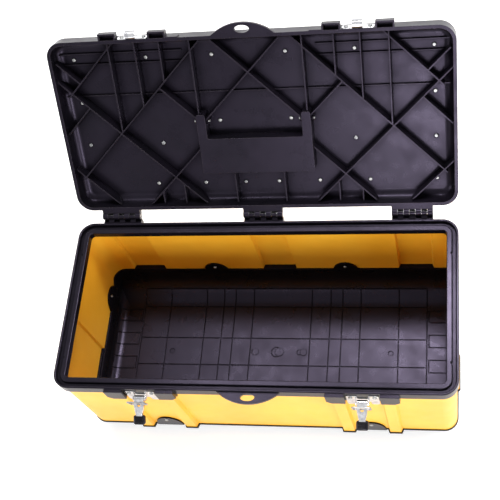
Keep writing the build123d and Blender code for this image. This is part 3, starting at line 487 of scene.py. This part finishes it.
# Floor and backdrop: white paper, matt, that shows as white and keeps the shadow
floor_half = 6.0
floor_gap = 0.5 * MM
pulp_width = 900.0
floor_mesh = bpy.data.meshes.new("floor")
floor_mesh.from_pydata(
    [
        (-floor_half, -floor_half, 0),
        (floor_half, -floor_half, 0),
        (floor_half, floor_half, 0),
        (-floor_half, floor_half, 0),
    ],
    [],
    [(0, 1, 2, 3)],
)
floor = bpy.data.objects.new("floor", floor_mesh)
scene.collection.objects.link(floor)
floor.location.z = cad_low.z - floor_gap
paper, paper_tree, paper_place = new_material("white_paper_sweep")
pulp = add(paper_tree, "ShaderNodeTexNoise", {
    "Vector": paper_place, "Scale": per_mm(pulp_width), "Detail": 3.0,
})
pulp = add(paper_tree, "ShaderNodeMapRange", {
    "Value": pulp, "From Min": 0.3, "From Max": 0.7, "To Min": 0.93, "To Max": 0.96,
})
# Away from the lamps the paper needs more lift to show as white
away = add(paper_tree, "ShaderNodeVectorMath", {0: paper_place}, "Value", operation="LENGTH")
needed = add(paper_tree, "ShaderNodeMapRange", {
    "Value": away, "From Min": 0.9, "From Max": 3.0, "To Min": 0.4, "To Max": 0.82,
})
lift = add(paper_tree, "ShaderNodeMath", {0: seen_white(paper_tree), 1: needed}, operation="MULTIPLY")
sheet = add(paper_tree, "ShaderNodeBsdfPrincipled", {
    "Base Color": pulp, "Roughness": 0.9, "Emission Color": linear(WHITE), "Emission Strength": lift,
})
add(paper_tree, "ShaderNodeOutputMaterial", {"Surface": sheet})
floor_mesh.materials.append(paper)

# Faint even light from all round, with white where the background is seen
world = bpy.data.worlds.new("studio")
scene.world = world
world.use_nodes = True
sky = world.node_tree
sky.nodes.clear()
glow = add(sky, "ShaderNodeBackground", {"Color": linear(WHITE), "Strength": 0.2})
white = add(sky, "ShaderNodeBackground", {"Color": linear(WHITE), "Strength": 1.0})
both = add(sky, "ShaderNodeMixShader", {0: seen_white(sky), 1: glow, 2: white})
add(sky, "ShaderNodeOutputWorld", {"Surface": both})


def softbox(name, place, target, size, watts):
    """Rectangular area light that looks at a point, in metres."""
    data = bpy.data.lights.new(name, "AREA")
    data.shape = "RECTANGLE"
    data.size, data.size_y = size
    data.energy = watts
    lamp = bpy.data.objects.new(name, data)
    scene.collection.objects.link(lamp)
    lamp.location = place
    lamp.visible_camera = False
    lamp.rotation_euler = (Vector(target) - Vector(place)).to_track_quat("-Z", "Y").to_euler()


# Two boxes over the back give the lid's and floor's sheen, the others fill from all sides
softbox("back_top_right_box", (0.42, 0.89, 2.5), target=(0.05, 0.0, 0.1), size=(0.9, 0.36), watts=48.0)
softbox("back_top_left_box", (-0.45, 0.84, 2.5), target=(0.0, 0.0, 0.1), size=(0.8, 0.40), watts=16.0)
softbox("front_high_strip", (-0.5, -2.0, 2.0), target=(0.0, 0.1, 0.2), size=(0.8, 0.3), watts=3.0)
softbox("front_low_box", (0.3, -2.4, 0.95), target=(0.05, 0.25, 0.33), size=(0.8, 0.65), watts=31.0)
softbox("front_right_box", (1.9, -1.6, 0.6), target=(0.0, 0.0, 0.2), size=(1.2, 0.8), watts=25.0)
softbox("front_left_box", (-2.3, -1.1, 1.1), target=(0.0, 0.0, 0.15), size=(1.2, 1.0), watts=20.0)
softbox("right_box", (2.4, 0.2, 1.4), target=(0.0, 0.0, 0.15), size=(1.4, 1.0), watts=19.0)
softbox("rear_right_box", (1.6, 1.8, 1.0), target=(0.0, 0.2, 0.25), size=(1.2, 1.0), watts=16.0)
softbox("rear_left_box", (-1.6, 1.8, 1.0), target=(0.0, 0.2, 0.25), size=(1.2, 1.0), watts=16.0)

# Camera solved from the box's corners, ribs and rivets
camera_place = (0.3050, -0.5576, 1.5216)
yaw = math.radians(-23.098)
pitch = math.radians(61.891)
roll = math.radians(-21.015)
# Rows are the picture's right, down and depth, which lie along +X, -Z and +Y before any turn
level = Matrix(((1, 0, 0), (0, 0, -1), (0, 1, 0)))
aim = Matrix.Rotation(roll, 3, "Z") @ Matrix.Rotation(pitch, 3, "X") @ level @ Matrix.Rotation(yaw, 3, "Z")
# A camera looks along its own -Z, with +Y up
turn = Matrix((aim[0], -aim[1], -aim[2])).transposed()
lens = bpy.data.cameras.new("camera")
lens.sensor_width = 36.0
lens.lens = 71.12
lens.shift_x = -0.06
lens.clip_start = 0.05
lens.clip_end = 50.0
camera = bpy.data.objects.new("camera", lens)
scene.collection.objects.link(camera)
camera.matrix_world = Matrix.Translation(camera_place) @ turn.to_4x4()
scene.camera = camera
scene.view_settings.view_transform = "Standard"
